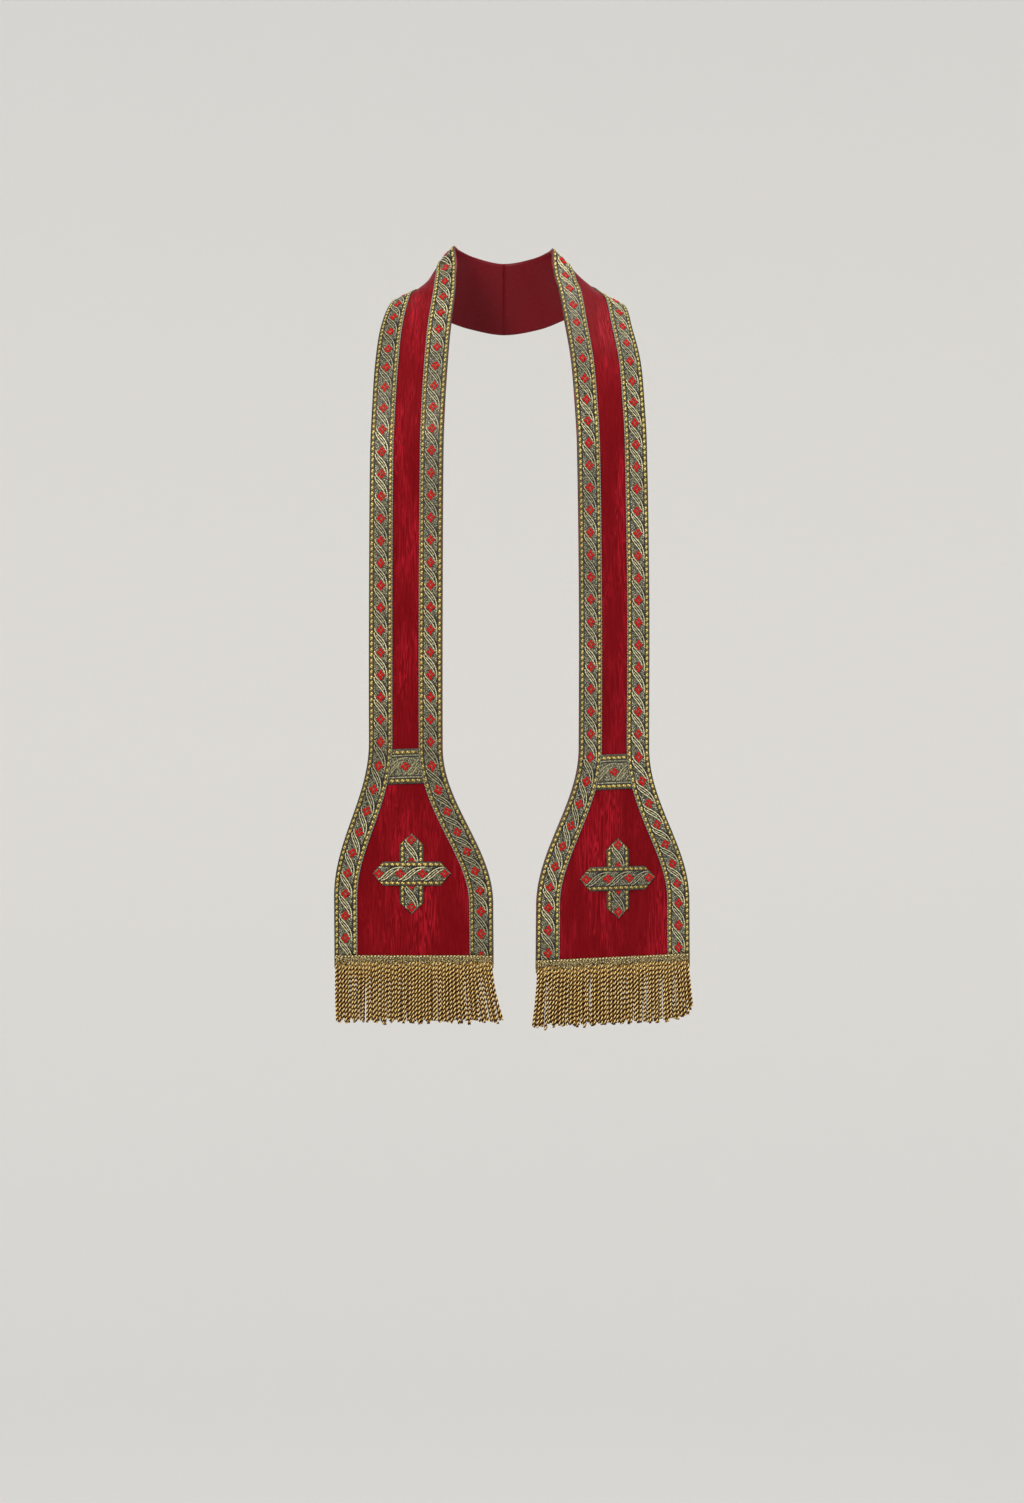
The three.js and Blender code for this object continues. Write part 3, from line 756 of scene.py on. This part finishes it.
# Duller, greener leaf threads than the edge galloon's.
leaf_olive = thread_with_painted_shade("leaf_olive", "#aca67f", "#5f5b40", 0.45, 0.15, 1.0)
CROSSBAND_MATERIALS = (crossband_ground, purl_gold, leaf_olive, floret_silk, seed_silver, binding_olive)
for half in HALVES:
    level, tilt = CROSSBANDS[half.name]
    middle = half.along_at(level)

    def limit(along, sign):
        slope = half.width(along + PROBE, sign) - half.width(along - PROBE, sign)
        return sign * (half.width(along, sign) - GALLOON_WIDTH * np.hypot(1, slope) - CROSSBAND_END_GAP)

    offsets = np.linspace(-CROSSBAND_WIDTH / 2, CROSSBAND_WIDTH / 2, 13)
    share = np.linspace(0, 1, 33)
    up, share = np.meshgrid(offsets, share, indexing="xy")
    rough = limit(middle - up, -1) * (1 - share) + limit(middle - up, 1) * share
    down = middle - up + rough * tilt
    out = limit(down, -1) * (1 - share) + limit(down, 1) * share

    def lay(along, across, lift):
        out = half.side * along
        return half.drape(middle - across + out * tilt, out, lift + TRIM_FOOT)

    run, rise = (half.side * out)[::half.side], up[::half.side]
    centre = (run[0].mean() + run[-1].mean()) / 2
    planes = [
        ((end[6], 0, 0), np.array((CROSSBAND_WIDTH, end[0] - end[-1], 0)) * sign)
        for end, sign in ((run[0], -1), (run[-1], 1))
    ]
    purl = purl_rows(run[0].min(), run[-1].max(), PURL_LEVEL, PURL_SPACING)
    parts = [strip(run, rise, 0, WEAVE_WALL, centre, CROSSBAND_STRETCH)]
    parts += galloon_relief(purl, (centre - REPEAT, centre), planes, CROSSBAND_STRETCH)
    name = f"crossband_{half.name}"
    crossband = sewn(f"{name}_woven", parts, lay, CROSSBAND_MATERIALS)
    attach(crossband, "root")
    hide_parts(name)


# The crosses
# Two 101 mm lengths of the 30 mm galloon with their ends turned under to points: the upright is sewn first,
# the bar over it, and the bar climbs over the upright where they cross.

CROSS_SPAN = 101
CROSS_POINT = 14
BAR_REST = 17
BAR_CLIMB = 8
BAR_RISE = 1.6
# The threads end this far inside the point, and the point's very tip is blunt.
POINT_HEM = 1.2
TIP_BLUNT = 0.4
CROSSES = {"left": (-755.7, 4.5), "right": (-749.2, -7)}
FIRST_FLORET = -42


def pointed_strip():
    """Woven ground of a cross arm, tapering to a point at both ends."""
    shoulder = CROSS_SPAN / 2 - CROSS_POINT
    tips = steps(shoulder, CROSS_SPAN / 2 - TIP_BLUNT, 3)
    stations = np.concatenate((-tips[::-1], steps(-shoulder, shoulder, ROW_STEP)[1:-1], tips))
    reach = HALF_GALLOON * np.minimum((CROSS_SPAN / 2 - np.abs(stations)) / CROSS_POINT, 1)
    along, share = np.meshgrid(stations, np.linspace(-1, 1, 9), indexing="ij")
    return strip(along, share * reach[:, None], 0, WEAVE_WALL, FIRST_FLORET)


def arm_parts():
    """A cross arm's ground and threads, cut off along its four slanting edges."""
    reach = CROSS_SPAN / 2
    purl = purl_rows(-reach, reach, HALF_GALLOON - PURL_FROM_EDGE)
    tip = reach - POINT_HEM
    planes = [
        ((x * tip, 0, 0), (x * HALF_GALLOON, y * CROSS_POINT, 0)) for x in (-1, 1) for y in (-1, 1)
    ]
    middles = np.arange(FIRST_FLORET - REPEAT, reach, REPEAT)
    return [pointed_strip()] + galloon_relief(purl, middles, planes)


for half in HALVES:
    level, aside = CROSSES[half.name]
    middle = half.along_at(level)

    def lay_upright(along, across, lift):
        return half.drape(middle + along, aside + half.side * across, lift + TRIM_FOOT)

    def lay_bar(along, across, lift):
        over = BAR_RISE * smooth(1 - (np.abs(along) - BAR_REST) / BAR_CLIMB)
        return half.drape(middle - across, aside + half.side * along, lift + TRIM_FOOT + over)

    for kind, lay in (("upright", lay_upright), ("bar", lay_bar)):
        name = f"cross_{kind}_{half.name}"
        cross = sewn(f"{name}_woven", arm_parts(), lay, GALLOON_MATERIALS)
        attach(cross, "root")
        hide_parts(name)


# The fringes
# A 16 mm openwork header sewn over each hem, with thick gold cords of two twisted plies hanging from it,
# uneven at their ends and a little splayed at the corners.

HEADER_DEPTH = 16
HEADER_WALL = 1.4
CORD_PITCH = 4.3
CORD_DROPS = (67, 64.5, 66.5, 69, 65.5, 68, 63.5, 67.5, 66, 69.5, 65)
PLY_WIDTH = 1.8
PLY_OFFSET = 0.88
TWIST_PITCH = 11.5
BACK_THICKER = 1.2
# How much a cord's sides, shaded by its neighbours, count as nearer its middle.
SIDE_SHADE = 0.22
# Sideways sweep of the outermost cords at their tips, inner and outer, and how much shorter the last is.
SPLAYS = {"left": (6, 6, 0.3), "right": (14, 0, 0)}
# Narrow gaps between the cords: place across as seen, and width at the tips. Their reach fades aside.
CORD_GAPS = {"right": ((-52, 3.0), (84, 1.6)), "left": ((-30, 1.2), (62, 1.8))}
GAP_REACH = 14
# How far above the header's foot the cords are rooted, and how far each row lies behind the front.
ROOT = 3
ROW_SINKS = (0.1, 2.1)
KNOT_PITCH = 4.2
KNOT_SIZE = (4.0, 2.2, 2.1)
KNOT_TURN = -0.9
STITCH_ROWS = 2.1
STITCH_PITCH = 2.9
STITCH_SIZE = (2.5, 1.3, 1.3)
STITCH_UNEVENNESS = 0.4
# Spread of the cords' random draws: where they start, how far they drop, bow, lean and lift, and their twist.
START_SPREAD = 0.15
DROP_SPREAD = 0.7
BOW_SPREAD = 0.45
LEAN_SPREAD = 0.4
LIFT_SPREAD = 0.3
TWIST_SPREAD = 0.07


def cord_tree():
    """Turns each drawn line into a cord of two plies wound round it, each with its own tightness of twist."""
    tree, given, result = nodes_tree("twisted_cords", (
        ("Ply Width", "Float", PLY_WIDTH), ("Ply Offset", "Float", PLY_OFFSET),
        ("Twist Pitch", "Float", TWIST_PITCH), ("Step", "Float", 1.3),
    ))
    curves = node(tree, "GeometryNodeMeshToCurve", [(given, "Geometry", 0)])
    even = node(
        tree, "GeometryNodeResampleCurve", [(curves, 0, "Curve"), (given, "Step", "Length")], mode="LENGTH",
    )
    place = node(tree, "GeometryNodeInputPosition")
    marked = node(
        tree, "GeometryNodeStoreNamedAttribute", [(even, 0, "Geometry"), (place, 0, "Value")],
        data_type="FLOAT_VECTOR", in_Name="cord_middle",
    )
    reach = node(tree, "GeometryNodeSplineParameter")
    turns = node(tree, "Math DIVIDE", [(reach, "Length", 0), (given, "Twist Pitch", 1)])
    own = node(tree, "GeometryNodeInputNamedAttribute", data_type="FLOAT_VECTOR", in_Name="turn")
    tightness = node(tree, "SeparateXYZ", [(own, 0, 0)])
    turns = node(tree, "Math MULTIPLY", [(turns, 0, 0), (tightness, 2, 1)])
    full = node(tree, "Math MULTIPLY", [(turns, 0, 0)], in_1=2 * math.pi)
    normal = node(tree, "GeometryNodeInputNormal")
    tangent = node(tree, "GeometryNodeInputTangent")
    side = node(tree, "VectorMath CROSS_PRODUCT", [(tangent, 0, 0), (normal, 0, 1)])
    half_width = node(tree, "Math MULTIPLY", [(given, "Ply Width", 0)], in_1=0.5)
    ring = node(tree, "GeometryNodeCurvePrimitiveCircle", [(half_width, 0, "Radius")], in_Resolution=5)
    join = node(tree, "GeometryNodeJoinGeometry")
    for ply in (0, math.pi):
        angle = node(tree, "Math ADD", [(full, 0, 0)], in_1=ply)
        moved = []
        for wave, direction in (("COSINE", normal), ("SINE", side)):
            swing = node(tree, "Math", [(angle, 0, 0)], operation=wave)
            sized = node(tree, "Math MULTIPLY", [(swing, 0, 0), (given, "Ply Offset", 1)])
            moved.append(node(tree, "VectorMath SCALE", [(direction, 0, 0), (sized, 0, "Scale")]))
        both = node(tree, "VectorMath ADD", [(moved[0], 0, 0), (moved[1], 0, 1)])
        wound = node(tree, "GeometryNodeSetPosition", [(marked, 0, "Geometry"), (both, 0, "Offset")])
        tube = node(
            tree, "GeometryNodeCurveToMesh", [(wound, 0, "Curve"), (ring, 0, "Profile Curve")],
            in_Fill_Caps=True,
        )
        joined(tree, join, [(tube, 0, 0)])
    # The distance from the cord's middle, cut short on the sides facing the neighbours, is stored so that the
    # material paints highlight on the crowns and shade in the crevices and on those sides.
    middle = node(tree, "GeometryNodeInputNamedAttribute", data_type="FLOAT_VECTOR", in_Name="cord_middle")
    offset = node(tree, "VectorMath SUBTRACT", [(place, 0, 0), (middle, 0, 1)])
    radius = node(tree, "VectorMath LENGTH", [(offset, 0, 0)])
    split = node(tree, "SeparateXYZ", [(offset, 0, 0)])
    aside = node(tree, "Math ABSOLUTE", [(split, 1, 0)])
    shade = node(tree, "Math MULTIPLY", [(aside, 0, 0)], in_1=SIDE_SHADE)
    lit = node(tree, "Math SUBTRACT", [(radius, 1, 0), (shade, 0, 1)])
    told = node(
        tree, "GeometryNodeStoreNamedAttribute", [(join, 0, "Geometry"), (lit, 0, "Value")],
        data_type="FLOAT", in_Name="lit_radius",
    )
    return ended(tree, given, result, told)


def cord_thread(name, ramp, metallic):
    """Twisted metallic cord: a painted highlight on the plies' crowns and painted shade in the crevices
    between them. Its UVs hold the distance from the cord's middle and the place along it."""
    material, tree, shader = new_material(name, "#a8863c", 0.34, metallic, Specular_IOR_Level=0.25)
    split = node(tree, "SeparateXYZ", [(node(tree, "TexCoord"), "UV", 0)])
    outermost = (PLY_OFFSET + PLY_WIDTH / 2) / 1000
    depth = node(tree, "Math MULTIPLY", [(split, 0, 0)], in_1=1 / outermost)
    colour = node(tree, "ValToRGB", [(depth, 0, 0)], ramp=ramp)
    joined(tree, shader, [(colour, 0, "Base Color")])
    return material


# Warm gilt cord in front: painted glints on the crowns over painted shade, nearly black, in the crevices.
cord_gold = cord_thread("cord_gold", (
    (0.45, "#0b0400"), (0.86, "#f5de97"), (0.65, "#3a1d05"), (0.76, "#996020"),
), 0.3)
# The same cord in the shadow of the front row, browner and duller.
cord_shade = cord_thread("cord_shade", (
    (0.45, "#060200"), (0.86, "#a67c32"), (0.65, "#1e0e02"), (0.76, "#57370d"),
), 0.3)
# Bright knots in a row along the header's top, pale loose stitches below them, and a brown-gold net behind.
knot_gold = thread_with_painted_shade("knot_gold", "#ecdfa2", "#6b4c17", 0.34, 0.35, 1.4)
header_thread = thread_with_painted_shade("header_thread", "#e0d097", "#66501f", 0.38, 0.3, 1.0)
header_ground = woven_ground("header_ground", HALF_GALLOON, (
    (0, "#9c8345", "#1f1506"), (HALF_GALLOON - 1, "#9c8345", "#1f1506"),
), False)
FRINGE_MATERIALS = (header_ground, cord_gold, cord_shade, header_thread, knot_gold)
cords = cord_tree()
for half in HALVES:
    rng = np.random.default_rng(7 if half.side > 0 else 11)
    splay_in, splay_out, short_out = SPLAYS[half.name]
    width_in, width_out = (half.width(np.array([half.header]), sign)[0] for sign in (-1, 1))
    left_edge, right_edge = (-width_in, width_out) if half.side > 0 else (-width_out, width_in)

    def lay(along, across, lift):
        return half.drape(half.header + along, half.side * across, lift + TRIM_FOOT)

    rows, columns = np.linspace(0, HEADER_DEPTH, 5), steps(left_edge, right_edge, 5)
    along, across = np.meshgrid(rows, columns, indexing="ij")
    parts = [strip(along, across, 0, HEADER_WALL)]
    knots = [(1.6, c, HEADER_WALL) for c in np.arange(left_edge + 2.4, right_edge - 1.5, KNOT_PITCH)]
    made = grown(purl_tree, knots, np.full(len(knots), KNOT_TURN), Size=KNOT_SIZE, Material=knot_gold)
    parts.append(part(read_back(made), 4))
    stitches = [
        (r + rng.uniform(-0.9, 0.9), c + rng.uniform(-1, 1), HEADER_WALL)
        for r in np.arange(4.2, HEADER_DEPTH - 1, STITCH_ROWS)
        for c in np.arange(left_edge + 2.2, right_edge - 2, STITCH_PITCH)
    ]
    made = grown(
        seed_tree, stitches, rng.uniform(-1, 1, len(stitches)), Size=STITCH_SIZE,
        Unevenness=STITCH_UNEVENNESS, Material=header_thread,
    )
    parts.append(part(read_back(made), 3))
    count = int((right_edge - left_edge - PLY_WIDTH) / CORD_PITCH)
    first = (left_edge + right_edge - count * CORD_PITCH) / 2
    drift = np.cumsum(rng.normal(0, 0.1, count + 2))
    drift -= np.linspace(drift[0], drift[-1], count + 2)
    for layer, sink in enumerate(ROW_SINKS):
        lines, edges, twists = [], [], []
        phases = np.cumsum(rng.normal(0.2, 2.2, count + 2)) % (TWIST_PITCH / 2)
        for i in range(count + 1 - layer):
            start = first + (i + layer / 2) * CORD_PITCH + rng.normal(0, START_SPREAD)
            out = half.side * start
            share = abs(out) / (width_in if out < 0 else width_out)
            lean = (splay_in if out < 0 else splay_out) * share ** 3 * np.sign(start)
            for gap, gap_width in CORD_GAPS[half.name]:
                lean += np.sign(start - gap) * gap_width / 2 * math.exp(-((start - gap) / GAP_REACH) ** 2)
            short = 0 if out < 0 else short_out * share ** 12
            drop = CORD_DROPS[(i * 3 + layer * 5) % len(CORD_DROPS)] + rng.normal(0, DROP_SPREAD)
            drop *= 1 - short
            part_way = np.linspace(0, 1, 9)
            root = ROOT + phases[i]
            fall = -root + part_way * (drop + root) + HEADER_DEPTH
            bow = rng.normal(0, BOW_SPREAD) * np.sin(math.pi * part_way)
            lean += rng.normal(0, LEAN_SPREAD)
            aside = start + lean * part_way ** 1.4 + drift[i] * part_way + bow
            lift = HEADER_WALL - 0.3 - sink * smooth(part_way * 3) + rng.normal(0, LIFT_SPREAD) * part_way
            twists += [rng.normal(1, TWIST_SPREAD)] * len(part_way)
            base = len(lines)
            lines += list(zip(fall, aside, lift))
            edges += [(base + k, base + k + 1) for k in range(len(part_way) - 1)]
        thicker = (1, BACK_THICKER)[layer]
        made = grown(
            cords, lines, np.array(twists), edges, Ply_Width=PLY_WIDTH * thicker,
            Ply_Offset=PLY_OFFSET * thicker, Material=(cord_gold, cord_shade)[layer],
        )
        radius = np.empty(len(made.vertices), np.float32)
        made.attributes["lit_radius"].data.foreach_get("value", radius)
        threads = read_back(made)
        parts.append(part(threads, 1 + layer, uvs=np.stack((radius / thicker, threads[0][:, 0]), -1)))
    name = f"fringe_{half.name}"
    fringe = sewn(f"{name}_cords", parts, lay, FRINGE_MATERIALS)
    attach(fringe, "root")
    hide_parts(name)


# Works out the full width of each half every 2 mm down its length.

for half in HALVES:
    rows = steps(0, half.header + HEADER_LAP, 2)
    widths = half.width(rows, -1) + half.width(rows, 1)


# The stage
# A plain pale floor that curves up into a glowing paper wall all round, as in a light tent, with soft studio
# lights and the camera. The part stays clear of it on every side, so that it can be looked at from anywhere.

FLOOR = -2.4
FLOOR_RADIUS = 4.8
WALL_CURVE = 1.8
WALL_TOP = 2.7
WALL_SIDES = 72
GLOW = 0.24


def round_backdrop():
    bends = np.linspace(0, math.pi / 2, 13)
    profile = [(FLOOR_RADIUS + WALL_CURVE * math.sin(a), WALL_CURVE * (1 - math.cos(a))) for a in bends]
    profile.append((FLOOR_RADIUS + WALL_CURVE, WALL_TOP - FLOOR))
    turns = [2 * math.pi * i / WALL_SIDES for i in range(WALL_SIDES)]
    points = [(r * math.cos(a), r * math.sin(a), FLOOR + z) for r, z in profile for a in turns]
    rings = [range(i * WALL_SIDES, (i + 1) * WALL_SIDES) for i in range(len(profile))]
    faces = [tuple(rings[0])]
    for low, high in zip(rings, rings[1:]):
        faces += [(low[i - 1], high[i - 1], high[i], low[i]) for i in range(WALL_SIDES)]
    mesh = bpy.data.meshes.new("pale_floor")
    mesh.from_pydata(points, [], faces)
    mesh.polygons.foreach_set("use_smooth", [True] * len(faces))
    # Matt white paper that glows evenly, so that the stole stands on a plain light ground without a horizon.
    paper = new_material(
        "pale_paper", "#dcdad6", 0.8, Emission_Color=linear("#efeeec"), Emission_Strength=GLOW,
    )
    mesh.materials.append(paper[0])
    made = bpy.data.objects.new("pale_floor", mesh)
    bpy.context.scene.collection.objects.link(made)
    return made


round_backdrop()

for name, place, aim, size, power, colour in (
    ("key_light", (-1.5, -2.9, 1.5), (0, 0, -0.45), 1.1, 73, "#fff6ec"),
    ("fill_light", (2.4, -2.6, 0.2), (0, 0, -0.5), 1.8, 26, "#f4f7ff"),
    ("top_light", (0.5, -0.4, 1.9), (0, 0, -0.3), 1.6, 28, "#ffffff"),
):
    light = bpy.data.lights.new(name, "AREA")
    light.shape, light.size, light.energy = "DISK", size, power
    light.color = linear(colour)[:3]
    lamp = bpy.data.objects.new(name, light)
    lamp.location = place
    x, y, z = (a - p for a, p in zip(aim, place))
    tilt = math.acos(-z / math.sqrt(x * x + y * y + z * z))
    lamp.rotation_euler = (tilt, 0, math.atan2(y, x) - math.pi / 2)
    lamp.visible_camera = False
    bpy.context.scene.collection.objects.link(lamp)

world = bpy.data.worlds.new("soft_room")
world.use_nodes = True
world.node_tree.nodes["Background"].inputs[0].default_value = linear("#dfe2e6")
world.node_tree.nodes["Background"].inputs[1].default_value = 0.55
bpy.context.scene.world = world

camera = bpy.data.cameras.new("camera")
camera.lens = 76.65
eye = bpy.data.objects.new("camera", camera)
eye.location = (0.01035, -4.226, -0.5964)
eye.rotation_euler = (math.pi / 2, 0, 0)
bpy.context.scene.collection.objects.link(eye)
bpy.context.scene.camera = eye
bpy.context.scene.view_settings.view_transform = "Standard"
